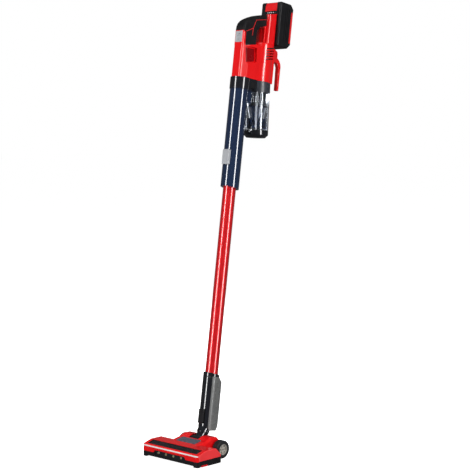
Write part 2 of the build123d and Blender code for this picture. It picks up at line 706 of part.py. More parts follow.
def side_pocket():
    pocket = plate_yz([(-12, 884), (28, 886), (32, 846), (-4, 838)], 17.5, 60)
    pocket = fillet(pocket.edges().filter_by(Axis.X), 4)
    return both_sides(pocket)


def vent_slots():
    return [Pos(0, 79, VENT_TOP - VENT_PITCH * i) * Rot(VENT_TILT, 0, 0) * Box(120, 38, 3.4) for i in range(VENT_COUNT)]


def grip_zone():
    """Side outline of the rubber on the handle bar and behind the front column."""
    outline = Polyline(
        (-21, 926), (-12, 921), (-11, 886), (GRIP_REAR_Y + 1, 896.5), (GRIP_REAR_Y + 3, 930), (46, 942),
        (57, 951.5), (COLUMN_FRONT_Y, 954), (COLUMN_FRONT_Y, 1015), (-40, 1015), (-40, 926),
        close=True)
    return extrude(Plane.YZ.offset(-40) * make_face(outline), amount=80)


def grip_core():
    """Red structure left inside the rubber."""
    return plate_yz([(-22, 880), (-22, 921), (-8, 944), (12, 958), (44, 972), (100, 988), (100, 962),
                     (66, 962), (40, 953), (27, 938), (27, 880)], -10.5, 10.5)


def motor_room():
    room = post(0, MOTOR_Y, 30.5, 790, MOTOR_HOUSING_TOP - 5)
    upper = post(0, UPPER_BULGE_Y, UPPER_BULGE_R - 3, 890, UPPER_BULGE_TOP - 4)
    upper = upper & block(-60, 60, 0, DOCK_Y - 3, 890, 1000)
    front = block(-11.5, 11.5, BODY_FRONT_Y + 3, 6, 806, 884)
    link = block(-8, 8, 0, 50, 806, 828)
    board = block(-8.5, 8.5, BODY_FRONT_Y + 1.8, -10, 880, 921)
    return room + upper + front + link + board


def panel_space():
    return block(-12.2, 12.2, BODY_FRONT_Y - 2, BODY_FRONT_Y + 1.8, 893.8, 924.2)


def body_solid():
    """Whole red casing before it is split into halves."""
    body = body_hull() - side_pocket()
    for slot in vent_slots():
        body = body - slot
    body = body - motor_room() - panel_space() - block(-6, 6, 122, 130, 868, 880)
    body = body - (grip_zone() - grip_core())
    for place in body_screw_places():
        body -= place * screw(14)
    return body


def body_shell(body, sign):
    side = block(0, 60, -60, 160, 780, 1050) if sign > 0 else block(-60, 0, -60, 160, 780, 1050)
    return STICK * largest_solid(body & side)


def handle_grip():
    body = body_hull() & grip_zone()
    grip = body - grip_core()
    return STICK * solids_of(grip)


KEY_HEIGHTS = [902, 916]


def control_panel():
    plate = block(-12, 12, BODY_FRONT_Y - 0.8, BODY_FRONT_Y + 1.8, 894, 924)
    plate = fillet(plate.edges().filter_by(Axis.Y), 2)
    for z in KEY_HEIGHTS:
        plate -= block(-7.3, 7.3, -30, 0, z - 4.8, z + 4.8)
    return STICK * plate


def panel_key(z):
    key = block(-7, 7, BODY_FRONT_Y - 1.6, BODY_FRONT_Y + 1.8, z - 4.5, z + 4.5)
    key = fillet(key.edges().filter_by(Axis.Y), 1.5)
    return STICK * key


def motor_can():
    can = post(0, MOTOR_Y, 24, 846, 892)
    can = fillet(can.edges().filter_by(GeomType.CIRCLE), 2)
    return STICK * (can - post(0, MOTOR_Y, 4.2, 840, 880))


def motor_mount():
    ring = post(0, MOTOR_Y, 30.2, 850, 862) - post(0, MOTOR_Y, 24, 840, 900)
    return STICK * ring


def fan_wheel():
    fan = post(0, MOTOR_Y, 6, 826, 842) + post(0, MOTOR_Y, 26, 838, 840) + post(0, MOTOR_Y, 3.5, 826, 876)
    blade = Pos(15.5, 3, 832) * Rot(0, 0, 20) * Box(19, 1.4, 12)
    for i in range(9):
        fan += Pos(0, MOTOR_Y, 0) * Rot(0, 0, 40 * i) * blade
    return STICK * fan


def battery_dock():
    plate = block(-24, 24, DOCK_Y, DOCK_Y + 1.4, 912, 984)
    for sign in (-1, 1):
        plate += block(sign * 18 - 2, sign * 18 + 2, DOCK_Y, DOCK_Y + 6, 920, 978)
        plate += block(sign * 20 - 4, sign * 20 + 4, DOCK_Y + 4, DOCK_Y + 6, 920, 978)
    return STICK * plate


def hanging_hook():
    outline = make_face([
        Polyline((122, 868), (138, 864), (143.5, 855), (146, 790), (153, 790), (153, 850)),
        ThreePointArc((153, 850), (149, 869), (134, 880)),
        Line((134, 880), (122, 880)),
        Line((122, 880), (122, 868)),
    ])
    hook = extrude(Plane.YZ.offset(-6) * outline, amount=12)
    hook = fillet(hook.edges().filter_by(lambda e: abs(abs(e.center().X) - 6) < 0.1), 1.2)
    return STICK * hook


def body_screw_places():
    spots = [(84, 972), (112, 874), (22, 826), (-6, 815)]
    return [Pos(-20, y, z) * Rot(0, -90, 0) for y, z in spots]


def body_screws():
    return Compound([STICK * place * screw(14) for place in body_screw_places()])


# ------------------------------------------------------------------ battery pack

BATTERY_Y0 = DOCK_Y + 1.8
BATTERY_Y1 = BATTERY_Y0 + BATTERY_DEPTH
BATTERY_SPLIT_Y = BATTERY_Y0 + 16


def battery_hull():
    half = BATTERY_HALF_WIDTH
    pack = block(-half, half, BATTERY_Y0, BATTERY_Y1, BATTERY_BOTTOM, BATTERY_TOP)
    rear = pack.edges().filter_by(Axis.X).filter_by(lambda e: e.center().Y > BATTERY_Y1 - 1)
    pack = chamfer(rear, 12)
    pack = fillet(pack.edges().filter_by(Axis.X), 5)
    side_rims = pack.edges().filter_by(lambda e: abs(abs(e.center().X) - half) < 0.1)
    return fillet(side_rims, 4.5)


def battery_room():
    return block(-BATTERY_HALF_WIDTH + 3, BATTERY_HALF_WIDTH - 3, BATTERY_Y0 + 9, BATTERY_Y1 - 3,
                 BATTERY_BOTTOM + 4, BATTERY_TOP - 4)


def rail_grooves():
    """Slots that the dock's rails run in, open at the lower end."""
    grooves = block(-25, 25, BATTERY_Y0 - 1, BATTERY_Y0, 900, 990)
    for sign in (-1, 1):
        grooves += block(sign * 18 - 2.4, sign * 18 + 2.4, BATTERY_Y0 - 1, DOCK_Y + 6.4, 900, 979)
        grooves += block(sign * 20 - 4.4, sign * 20 + 4.4, DOCK_Y + 3.6, DOCK_Y + 6.4, 900, 979)
    grooves += block(-10, 10, BATTERY_Y0 - 1, DOCK_Y + 6.6, 900, 945)
    return grooves


def battery_case():
    front = block(-60, 60, BATTERY_Y0 - 5, BATTERY_SPLIT_Y, 890, 1060)
    case = (battery_hull() & front) - battery_room() - rail_grooves() - battery_button_bay()
    return STICK * case


def battery_lid():
    rear = block(-60, 60, BATTERY_SPLIT_Y, BATTERY_Y1 + 5, 890, 1060)
    lid = (battery_hull() & rear) - battery_room()
    for sign in (-1, 1):
        x = sign * BATTERY_HALF_WIDTH
        for y in (BATTERY_SPLIT_Y + 6, BATTERY_SPLIT_Y + 13, BATTERY_SPLIT_Y + 20):
            lid -= block(x - 0.9, x + 0.9, y - 1.2, y + 1.2, BATTERY_BOTTOM + 14, BATTERY_TOP - 14)
        lid -= bumper(sign)
    return STICK * lid


def bumper(sign):
    x = sign * BATTERY_HALF_WIDTH
    strip = block(x - 1.6, x + 1.6, BATTERY_Y1 - 10, BATTERY_Y1 + 1, BATTERY_BOTTOM + 16, BATTERY_TOP - 22)
    strip = fillet(strip.edges().filter_by(Axis.X), 2)
    return strip & battery_hull()


def battery_bumpers():
    return Compound([STICK * bumper(-1), STICK * bumper(1)])


def battery_button_bay():
    return block(-21.5, 21.5, BATTERY_Y0 - 2, BATTERY_Y0 + 7, 1003.5, 1040)


def battery_button():
    key = plate_yz([(BATTERY_Y0 + 0.2, 1004), (BATTERY_Y0 + 5.4, 1004), (BATTERY_Y0 + 5.4, 1027.5),
                    (BATTERY_Y0 + 4.0, 1027.5), (BATTERY_Y0 + 0.6, 1020)], -21, 21)
    key = fillet(key.edges().filter_by(Axis.Y), 1)
    return STICK * key


def battery_cells():
    cells = []
    for x in (-22.5, 0, 22.5):
        for y in (BATTERY_Y0 + 20, BATTERY_Y0 + 40.5):
            for z in (938, 996):
                cells.append(Pos(x, y, z) * Cylinder(9.2, 56))
    return Compound([STICK * c for c in cells])


# ------------------------------------------------------------------ dust bin (z down from the casing)


def bin_top_cut():
    """Keeps the rim parallel to the casing's lower face."""
    return Rot(-BIN_TILT, 0, 0) * block(-80, 80, -80, 80, -0.6, 40)


def bin_band():
    ring = post(0, 0, BIN_R + 0.5, -BIN_BAND_LENGTH, 6) - post(0, 0, BIN_R - 3, -60, 20)
    inlet = block(-11, 11, -50, -20, -50, -5)
    ring = ring - bin_top_cut() - inlet
    return BIN * solids_of(ring)


def bin_wall():
    low = -BIN_LENGTH + BIN_FLAP_LENGTH
    ring = post(0, 0, BIN_R, low, -BIN_BAND_LENGTH) - post(0, 0, BIN_R - BIN_WALL, -200, 20)
    port = block(-10.7, 10.7, -36.5, -30.5, -57.5, -31)
    passage = block(-8.5, 8.5, -60, -10, -55, -33.5)
    return BIN * (ring + port + hinge_lugs() - passage)


def cyclone_cone():
    """Shroud under the mesh, cone and the wide dirt skirt below it."""
    outer = post(0, 0, 25, -70, -64) + Pos(0, 0, -85) * Cone(19, 25, 30)
    inner = post(0, 0, 23.3, -70, -50) + Pos(0, 0, -85) * Cone(17, 23, 30)
    skirt = post(0, 0, 28, -128, -100) - post(0, 0, 26.3, -130, -101.8)
    return BIN * (outer + skirt - inner - post(0, 0, 17, -110, -99))


def mesh_filter():
    drum = post(0, 0, 25, -64, -31) - post(0, 0, 23.4, -70, -20)
    for i in range(20):
        for z in (-36.5, -42.5, -48.5, -54.5):
            drum -= Pos(0, 0, z) * Rot(0, 0, 18 * i) * Pos(25, 0, 0) * Box(6, 3.2, 3.6)
    flange = post(0, 0, BIN_R - 3.2, -31, -28) - post(0, 0, 23.4, -70, -20)
    return BIN * (drum + flange)


def pleated_filter():
    core = post(0, 0, 30, -27, -8)
    for i in range(24):
        core -= Rot(0, 0, 15 * i) * Pos(30, 0, -17) * Rot(0, 0, 45) * Box(3, 3, 30)
    return BIN * (core - bin_top_cut())


FLAP_PIN_Y = BIN_R + 3.5
FLAP_PIN_Z = -BIN_LENGTH + BIN_FLAP_LENGTH - 3.5


def bin_flap():
    low = -BIN_LENGTH
    rim = post(0, 0, BIN_R, low + 8, low + BIN_FLAP_LENGTH - GAP)
    base = Pos(0, 0, low + 4) * Cone(BIN_R - 8, BIN_R, 8)
    flap = rim + base - post(0, 0, BIN_R - 3, low + 8, -100) - post(0, 0, 22, low + 3, -100)
    knuckle = disc_x(-FLAP_PIN_Y, FLAP_PIN_Z, 3.2, -9, 9)
    knuckle += block(-9, 9, -FLAP_PIN_Y, -BIN_R + 2, FLAP_PIN_Z - 3, FLAP_PIN_Z + 1)
    return BIN * (flap + knuckle - disc_x(-FLAP_PIN_Y, FLAP_PIN_Z, 1.55, -12, 12))


def flap_pin():
    return BIN * disc_x(-FLAP_PIN_Y, FLAP_PIN_Z, 1.5, -13, 13)


def hinge_lugs():
    """Two eyes on the bin wall that hold the flap's pin; round below it, so that the flap swings clear."""
    eyes = []
    for sign in (-1, 1):
        x0, x1 = sign * 11.2 - 1.8, sign * 11.2 + 1.8
        eye = disc_x(-FLAP_PIN_Y, FLAP_PIN_Z, 3.6, x0, x1)
        eye += block(x0, x1, -FLAP_PIN_Y - 3, -BIN_R + 3.5, FLAP_PIN_Z, FLAP_PIN_Z + 12)
        eye -= disc_x(-FLAP_PIN_Y, FLAP_PIN_Z, 1.5, x0 - 1, x1 + 1)
        eye -= post(0, 0, BIN_R + GAP, -200, -BIN_LENGTH + BIN_FLAP_LENGTH)
        eyes.append(eye - post(0, 0, BIN_R - 1, -BIN_LENGTH + BIN_FLAP_LENGTH, 0))
    return eyes[0] + eyes[1]


def latch_pocket():
    """Room for the latch key and its 4 mm of travel."""
    return block(16.8, 23, 21.4, 36.8, 771.6, 793.4)


def bin_latch():
    """Slide on the right side of the saddle that lets the bin go."""
    key = block(17.2, 22, 21.8, 36.4, 776, 793)
    key = fillet(key.edges().filter_by(Axis.X), 2)
    return STICK * key


# ------------------------------------------------------------------ write


def make_parts():
    body = body_solid()
    return {
        "head_cover": head_cover(),
        "head_base": head_base(),
        "head_window": head_window(),
        "side_panels": side_panels(),
        "front_band": front_band(),
        "trim_strip": trim_strip(),
        "light_bar": light_bar(),
        "light_lenses": light_lenses(),
        "badge_plate": badge_plate(),
        "roll_release_latch": roll_release_latch(),
        "brush_core": brush_core(),
        "brush_bristles": brush_bristles(),
        "brush_bushes": brush_bushes(),
        "drive_belt": drive_belt(),
        "motor_pinion": motor_pinion(),
        "head_motor": head_motor(),
        "wheel_tyre_left": wheel_tyre(-1),
        "wheel_tyre_right": wheel_tyre(1),
        "wheel_hub_left": wheel_hub(-1),
        "wheel_hub_right": wheel_hub(1),
        "wheel_axles": wheel_axles(),
        "front_rollers": front_rollers(),
        "head_screws": head_screws(),
        "neck_yoke": neck_yoke(),
        "yoke_pins": yoke_pins(),
        "swivel_ring": swivel_ring(),
        "neck_elbow": neck_elbow(),
        "neck_front_shell": neck_front_shell(),
        "neck_rear_shell": neck_rear_shell(),
        "neck_collar": neck_collar(),
        "neck_button": neck_button(),
        "wand_tube": wand_tube(),
        "inlet_duct": inlet_duct(),
        "duct_collar": duct_collar(),
        "tube_button": tube_button(),
        "body_shell_left": body_shell(body, -1),
        "body_shell_right": body_shell(body, 1),
        "handle_grip": handle_grip(),
        "control_panel": control_panel(),
        "power_key": panel_key(KEY_HEIGHTS[0]),
        "mode_key": panel_key(KEY_HEIGHTS[1]),
        "suction_motor": motor_can(),
        "motor_mount": motor_mount(),
        "fan_wheel": fan_wheel(),
        "battery_dock": battery_dock(),
        "hanging_hook": hanging_hook(),
        "body_screws": body_screws(),
        "battery_case": battery_case(),
        "battery_lid": battery_lid(),
        "battery_bumpers": battery_bumpers(),
        "battery_button": battery_button(),
        "battery_cells": battery_cells(),
        "bin_band": bin_band(),
        "bin_wall": bin_wall(),
        "cyclone_cone": cyclone_cone(),
        "mesh_filter": mesh_filter(),
        "pleated_filter": pleated_filter(),
        "bin_latch": bin_latch(),
        "bin_flap": bin_flap(),
        "flap_pin": flap_pin(),
    }


def stand_shift(parts):
    """Moves the origin from below the wheel axle to the middle of the object's footprint."""
    boxes = [shape.bounding_box() for shape in parts.values()]
    middle_x = (min(b.min.X for b in boxes) + max(b.max.X for b in boxes)) / 2
    middle_y = (min(b.min.Y for b in boxes) + max(b.max.Y for b in boxes)) / 2
    return Location((-middle_x, -middle_y, -min(b.min.Z for b in boxes)))


if __name__ == "__main__":
    parts = make_parts()
    shift = stand_shift(parts)
    for name, shape in parts.items():
        export_step(shape.moved(shift), f"parts/{name}.step")
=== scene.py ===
import bpy
import json
import random
from math import cos, pi, radians, sin
from mathutils import Matrix, Vector


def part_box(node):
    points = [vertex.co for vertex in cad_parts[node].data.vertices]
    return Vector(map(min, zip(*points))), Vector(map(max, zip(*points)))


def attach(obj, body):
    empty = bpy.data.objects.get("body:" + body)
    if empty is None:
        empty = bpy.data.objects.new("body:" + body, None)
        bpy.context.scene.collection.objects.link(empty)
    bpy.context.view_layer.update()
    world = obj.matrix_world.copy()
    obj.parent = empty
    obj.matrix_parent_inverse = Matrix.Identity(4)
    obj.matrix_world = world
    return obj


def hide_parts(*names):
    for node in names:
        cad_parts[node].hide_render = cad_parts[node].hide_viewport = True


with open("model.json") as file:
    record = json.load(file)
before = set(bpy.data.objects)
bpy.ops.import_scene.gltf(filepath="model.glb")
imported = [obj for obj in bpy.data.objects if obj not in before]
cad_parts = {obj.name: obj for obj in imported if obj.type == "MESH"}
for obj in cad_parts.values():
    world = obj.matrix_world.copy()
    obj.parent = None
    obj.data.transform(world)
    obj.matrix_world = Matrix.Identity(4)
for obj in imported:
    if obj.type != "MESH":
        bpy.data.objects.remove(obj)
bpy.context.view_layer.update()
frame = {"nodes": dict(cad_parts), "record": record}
nodes = frame["nodes"]
scene = bpy.context.scene

MM = 0.001


# ------------------------------------------------------------------ materials


def new_material(name):
    """A fresh material with its tree, its shader and its object coordinates."""
    mat = bpy.data.materials.new(name)
    mat.use_nodes = True
    tree = mat.node_tree
    shader = tree.nodes["Principled BSDF"]
    coords = tree.nodes.new("ShaderNodeTexCoord")
    return mat, tree, shader, coords


def noise(tree, coords, scale, detail=3.0, stretch=None):
    tex = tree.nodes.new("ShaderNodeTexNoise")
    tex.inputs["Scale"].default_value = scale
    tex.inputs["Detail"].default_value = detail
    source = coords.outputs["Object"]
    if stretch:
        mapping = tree.nodes.new("ShaderNodeMapping")
        mapping.inputs["Scale"].default_value = stretch
        tree.links.new(source, mapping.inputs["Vector"])
        source = mapping.outputs["Vector"]
    tree.links.new(source, tex.inputs["Vector"])
    return tex.outputs["Fac"]


def ramp(tree, fac, low, high, colour_low, colour_high):
    node = tree.nodes.new("ShaderNodeValToRGB")
    node.color_ramp.elements[0].position = low
    node.color_ramp.elements[1].position = high
    node.color_ramp.elements[0].color = (*colour_low, 1)
    node.color_ramp.elements[1].color = (*colour_high, 1)
    tree.links.new(fac, node.inputs["Fac"])
    return node.outputs["Color"]


def remap(tree, fac, low, high, to_low, to_high):
    node = tree.nodes.new("ShaderNodeMapRange")
    node.inputs["From Min"].default_value = low
    node.inputs["From Max"].default_value = high
    node.inputs["To Min"].default_value = to_low
    node.inputs["To Max"].default_value = to_high
    tree.links.new(fac, node.inputs["Value"])
    return node.outputs["Result"]


def bump(tree, shader, height, strength, distance):
    node = tree.nodes.new("ShaderNodeBump")
    node.inputs["Strength"].default_value = strength
    node.inputs["Distance"].default_value = distance
    tree.links.new(height, node.inputs["Height"])
    tree.links.new(node.outputs["Normal"], shader.inputs["Normal"])


def tinted(colour, factor):
    return tuple(min(1.0, c * factor) for c in colour)


def plastic(name, colour, rough, spread=0.05, grain=900, depth=0.02, coat=0.0, variation=0.12,
            specular=0.5):
    """Moulded plastic: fine grain, slightly uneven gloss and tone."""
    mat, tree, shader, coords = new_material(name)
    tone = noise(tree, coords, 14, 2)
    shade = ramp(tree, tone, 0.3, 0.7, tinted(colour, 1 - variation), tinted(colour, 1 + variation))
    tree.links.new(shade, shader.inputs["Base Color"])
    wear = noise(tree, coords, 60, 4)
    gloss = remap(tree, wear, 0.35, 0.65, max(0.02, rough - spread), rough + spread)
    tree.links.new(gloss, shader.inputs["Roughness"])
    bump(tree, shader, noise(tree, coords, grain, 2), depth, 0.0004)
    shader.inputs["Coat Weight"].default_value = coat
    shader.inputs["Coat Roughness"].default_value = 0.04
    shader.inputs["Specular IOR Level"].default_value = specular
    return mat


def metal(name, colour, rough, stretch=(1, 1, 1), scale=300, coat=0.0, metallic=1.0):
    """Bare or lacquered metal, with fine lines along the stretched axis."""
    mat, tree, shader, coords = new_material(name)
    lines = noise(tree, coords, scale, 4, stretch)
    shade = ramp(tree, lines, 0.3, 0.7, tinted(colour, 0.86), tinted(colour, 1.1))
    tree.links.new(shade, shader.inputs["Base Color"])
    gloss = remap(tree, lines, 0.3, 0.7, rough * 0.8, rough * 1.3)
    tree.links.new(gloss, shader.inputs["Roughness"])
    bump(tree, shader, lines, 0.03, 0.0002)
    shader.inputs["Metallic"].default_value = metallic
    shader.inputs["Coat Weight"].default_value = coat
    shader.inputs["Coat Roughness"].default_value = 0.03
    return mat


CLEAR_IOR = 1.46


def clear(name, colour, specular=0.5):
    """See-through plastic with a faint haze in its gloss."""
    mat, tree, shader, coords = new_material(name)
    haze = noise(tree, coords, 40, 3)
    gloss = remap(tree, haze, 0.3, 0.7, 0.02, 0.05)
    tree.links.new(gloss, shader.inputs["Roughness"])
    shade = ramp(tree, haze, 0.3, 0.7, tinted(colour, 0.97), colour)
    tree.links.new(shade, shader.inputs["Base Color"])
    shader.inputs["Transmission Weight"].default_value = 1.0
    shader.inputs["IOR"].default_value = CLEAR_IOR
    shader.inputs["Specular IOR Level"].default_value = specular
    return mat


def spoked_hub(name, centre_y, centre_z, rim_radius):
    """Pale spokes inside a dark rim, told apart by the distance from the wheel's axle."""
    mat, tree, shader, coords = new_material(name)
    place = tree.nodes.new("ShaderNodeVectorMath")
    place.operation = "SUBTRACT"
    place.inputs[1].default_value = (0, centre_y, centre_z)
    tree.links.new(coords.outputs["Object"], place.inputs[0])
    flat = tree.nodes.new("ShaderNodeVectorMath")
    flat.operation = "MULTIPLY"
    flat.inputs[1].default_value = (0, 1, 1)
    tree.links.new(place.outputs["Vector"], flat.inputs[0])
    length = tree.nodes.new("ShaderNodeVectorMath")
    length.operation = "LENGTH"
    tree.links.new(flat.outputs["Vector"], length.inputs[0])
    shade = ramp(tree, remap(tree, length.outputs["Value"], 0, 2 * rim_radius, 0, 1), 0.46, 0.50,
                 (0.50, 0.47, 0.42), (0.035, 0.035, 0.038))
    tree.links.new(shade, shader.inputs["Base Color"])
    gloss = remap(tree, noise(tree, coords, 70, 3), 0.3, 0.7, 0.30, 0.42)
    tree.links.new(gloss, shader.inputs["Roughness"])
    return mat


MATERIALS = {
    "red_gloss": plastic("red_gloss", (0.72, 0.004, 0.006), 0.20, 0.03, 500, 0.010, coat=0.5,
                         variation=0.05),
    "red_satin": plastic("red_satin", (0.62, 0.008, 0.010), 0.34, 0.05, 900, 0.05, coat=0.1),
    "red_lacquer": metal("red_lacquer", (0.66, 0.006, 0.010), 0.24, (1, 1, 0.03), 400, coat=1.0,
                         metallic=0.35),
    "navy_gloss": plastic("navy_gloss", (0.008, 0.018, 0.048), 0.12, 0.03, 400, 0.012, coat=0.9),
    "black_plastic": plastic("black_plastic", (0.006, 0.006, 0.007), 0.42, 0.08, 1500, 0.10, specular=0.25),
    "black_gloss": plastic("black_gloss", (0.007, 0.008, 0.011), 0.16, 0.04, 600, 0.02, coat=0.6),
    "black_rubber": plastic("black_rubber", (0.005, 0.005, 0.006), 0.50, 0.10, 2200, 0.25, specular=0.22),
    "grey_plastic": plastic("grey_plastic", (0.085, 0.088, 0.095), 0.34, 0.06, 1200, 0.08),
    "dark_grey_plastic": plastic("dark_grey_plastic", (0.030, 0.033, 0.042), 0.30, 0.06, 1200, 0.06),
    "clear_plastic": clear("clear_plastic", (0.90, 0.93, 0.97)),
    "smoked_window": clear("smoked_window", (0.035, 0.033, 0.040), specular=0.15),
    "lens": plastic("lens", (0.17, 0.15, 0.085), 0.12, 0.04, 500, 0.02, coat=0.6),
    "silver_trim": metal("silver_trim", (0.90, 0.91, 0.92), 0.38, (0.02, 1, 1), 900, metallic=0.25),
    "chrome": metal("chrome", (0.80, 0.80, 0.82), 0.08, (1, 1, 1), 200),
    "steel": metal("steel", (0.52, 0.52, 0.54), 0.30, (0.1, 1, 1), 900),
    "tyre": plastic("tyre", (0.012, 0.012, 0.013), 0.55, 0.10, 1800, 0.30, specular=0.3),
    "bristle": plastic("bristle", (0.45, 0.015, 0.018), 0.55, 0.10, 1500, 0.15),
    "filter_paper": plastic("filter_paper", (0.80, 0.79, 0.74), 0.85, 0.05, 2500, 0.40),
    "cell_wrap": plastic("cell_wrap", (0.04, 0.18, 0.42), 0.30, 0.05, 700, 0.03, coat=0.3),
    "bronze": metal("bronze", (0.55, 0.36, 0.15), 0.35, (1, 1, 1), 1200),
    "panel_grey": plastic("panel_grey", (0.38, 0.39, 0.41), 0.32, 0.06, 1200, 0.06),
    "neck_grey": plastic("neck_grey", (0.135, 0.14, 0.138), 0.28, 0.05, 1200, 0.05),
    "badge_grey": plastic("badge_grey", (0.075, 0.080, 0.105), 0.30, 0.05, 900, 0.04),
    # painted sheen: a lighter copy of red_satin for the side panels
    "sheen_panel_red": plastic("sheen_panel_red", (0.80, 0.035, 0.040), 0.40, 0.05, 1200, 0.10),
    # painted shade: a darker red laid in the side pockets to stand for the shade there
    "pocket_shade_red": plastic("pocket_shade_red", (0.20, 0.001, 0.003), 0.25, 0.04, 700, 0.02, specular=0.3),
    "mark": plastic("mark", (0.62, 0.63, 0.64), 0.40, 0.05, 900, 0.03),
}


def dress(obj, mat):
    obj.data.materials.clear()
    obj.data.materials.append(mat)


for part in frame["record"]["subparts"]:
    dress(nodes[part["node"]], MATERIALS[part["material_slot"]])


wheel_low, wheel_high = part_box("wheel_tyre_right")
AXLE_Y = (wheel_low.y + wheel_high.y) / 2
AXLE_Z = (wheel_low.z + wheel_high.z) / 2
HUB_RIM_R = 14.2 * MM
HUB = spoked_hub("hub", AXLE_Y, AXLE_Z, HUB_RIM_R)
dress(nodes["wheel_hub_left"], HUB)
dress(nodes["wheel_hub_right"], HUB)

# tones that differ from the rest of their slot; the side panels' lighter red is painted sheen
for node, tone in {
    "control_panel": "panel_grey",
    "power_key": "panel_grey",
    "mode_key": "panel_grey",
    "tube_button": "panel_grey",
    "neck_rear_shell": "neck_grey",
    "badge_plate": "badge_grey",
    "side_panels": "sheen_panel_red",
}.items():
    dress(nodes[node], MATERIALS[tone])


# ------------------------------------------------------------------ pieces that only Blender has

# The stick's own frame starts at the lower end of the visible tube, and the stub's on the neck's
# pitch axis. Their two lines cross at the elbow.
LEAN, INCLINE = radians(8.14), radians(39.0)
ELBOW_REACH = 54 * MM            # pitch axis to elbow
ELBOW_BELOW_TUBE = 137 * MM      # elbow to the start of the stick
PITCH_AXIS = Vector((0, AXLE_Y - 21 * MM, 37.4 * MM))
ELBOW = PITCH_AXIS + ELBOW_REACH * Vector((0, sin(INCLINE), cos(INCLINE)))
STICK_START = ELBOW + ELBOW_BELOW_TUBE * Vector((0, sin(LEAN), cos(LEAN)))
STICK = Matrix.Translation(STICK_START) @ Matrix.Rotation(-LEAN, 4, "X")
STUB = Matrix.Translation(PITCH_AXIS) @ Matrix.Rotation(-INCLINE, 4, "X")


def fit_piece(obj, body, finish):
    """The piece rides on its body and is dressed in its finish."""
    scene.collection.objects.link(obj)
    dress(obj, MATERIALS[finish])
    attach(obj, body)


def mesh_piece(name, points, faces, body, finish):
    """A flat-shaded mesh in the row frame."""
    mesh = bpy.data.meshes.new(name)
    mesh.from_pydata(points, [], faces)
    mesh.validate()
    mesh.polygons.foreach_set("use_smooth", [False] * len(mesh.polygons))
    obj = bpy.data.objects.new(name, mesh)
    fit_piece(obj, body, finish)
    return obj


def prism_x(name, place, outline, x0, x1, body, finish, bevel=0.0):
    """A flat plate: an outline of (y, z) in mm, between two x planes."""
    count = len(outline)
    points = [place @ Vector((x * MM, y * MM, z * MM)) for x in (x0, x1) for y, z in outline]
    faces = [tuple(range(count))[::-1], tuple(range(count, 2 * count))]
    faces += [(i, (i + 1) % count, count + (i + 1) % count, count + i) for i in range(count)]
    obj = mesh_piece(name, points, faces, body, finish)
    if bevel:
        edge = obj.modifiers.new("bevel", "BEVEL")
        edge.width = bevel * MM
        edge.segments = 2


def box_piece(name, place, x, y, z, body, finish, bevel=0.2):
    """A small bevelled block from its three ranges in mm."""
    outline = [(y[0], z[0]), (y[1], z[0]), (y[1], z[1]), (y[0], z[1])]
    prism_x(name, place, outline, x[0], x[1], body, finish, bevel)


def line_piece(name, place, route, radius, body, finish, closed=False):
    """A thin bead laid along straight runs in mm."""
    curve = bpy.data.curves.new(name, "CURVE")
    curve.dimensions = "3D"
    curve.bevel_depth = radius * MM
    curve.bevel_resolution = 2
    spline = curve.splines.new("POLY")
    spline.points.add(len(route) - 1)
    for point, spot in zip(spline.points, route):
        point.co = (*(place @ (Vector(spot) * MM)), 1)
    spline.use_cyclic_u = closed
    curve.use_fill_caps = not closed
    fit_piece(bpy.data.objects.new(name, curve), body, finish)


BRUSH_Y, BRUSH_Z = AXLE_Y - 93 * MM, 19 * MM
BRUSH_HALF = 84.0
BRISTLE_ROOT, BRISTLE_TIP = 11.0, 17.6
BRISTLE_PITCH = 1.3
BRISTLE_START = 3.0
ROW_TWIST = 42.0           # degrees that a row turns from the middle to its end
STRAND_STEP = 4.0          # degrees between the three strands of a tuft
ROOT_HALF_WIDTH, TIP_HALF_WIDTH = 0.26, 0.14


def bristles():
    """Thin red bristles in four rows, each a shallow V, with their own small lean."""
    draw = random.Random(7)
    points, faces = [], []
    steps = int((BRUSH_HALF - BRISTLE_START) / BRISTLE_PITCH)
    for row in range(4):
        for side in (-1, 1):
            for step in range(steps):
                for strand in range(3):
                    x = side * (BRISTLE_START + BRISTLE_PITCH * step) + draw.uniform(-0.4, 0.4)
                    twist = ROW_TWIST * step / steps
                    spread = STRAND_STEP * (strand - 1)
                    turn = radians(90 * row + twist + spread + draw.uniform(-2, 2))
                    tip_turn = turn + radians(draw.uniform(-5, 5))
                    tip = BRISTLE_TIP - draw.uniform(0, 0.9)
                    add_strand(points, faces, x, turn, tip_turn, tip)
    piece = mesh_piece("bristle_rows", points, faces, "brush_roll", "bristle")
    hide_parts("brush_bristles")


def add_strand(points, faces, x, turn, tip_turn, tip):
    """One tapered three-sided strand between the core and its tip."""
    first = len(points)
    ends = ((BRISTLE_ROOT, turn, ROOT_HALF_WIDTH), (tip, tip_turn, TIP_HALF_WIDTH))
    for radius, angle, thick in ends:
        for corner in range(3):
            bend = 2 * pi * corner / 3
            out = radius * Vector((0, -sin(angle), cos(angle)))
            across = thick * sin(bend) * Vector((0, -cos(angle), -sin(angle)))
            spot = out + across + Vector((x + thick * cos(bend), 0, 0))
            points.append((spot.x * MM, BRUSH_Y + spot.y * MM, BRUSH_Z + spot.z * MM))
    for i in range(3):
        j = (i + 1) % 3
        faces.append((first + i, first + j, first + 3 + j, first + 3 + i))
    faces.append((first + 2, first + 1, first))
    faces.append((first + 3, first + 4, first + 5))


BAR_SIDE = 16.6            # just proud of the grip's flat sides
TRIM_R = 0.9


def grip_trims():
    """Red beads on both sides of the grip: one along the bar and a short branch."""
    for side, label in ((-1, "left"), (1, "right")):
        x = side * BAR_SIDE
        along = [(x, 66, 972), (x, 24, 962), (x, 15, 938), (x, -12, 924)]
        branch = [(x, 15, 938), (x, 13.5, 918)]
        line_piece("grip_trim_" + label, STICK, along, TRIM_R, "handheld", "red_satin")
        line_piece("grip_trim_branch_" + label, STICK, branch, TRIM_R, "handheld", "red_satin")


PLATE_INNER_X, PLATE_OUTER_X = 17.5, 18.6     # from the pocket's floor outwards


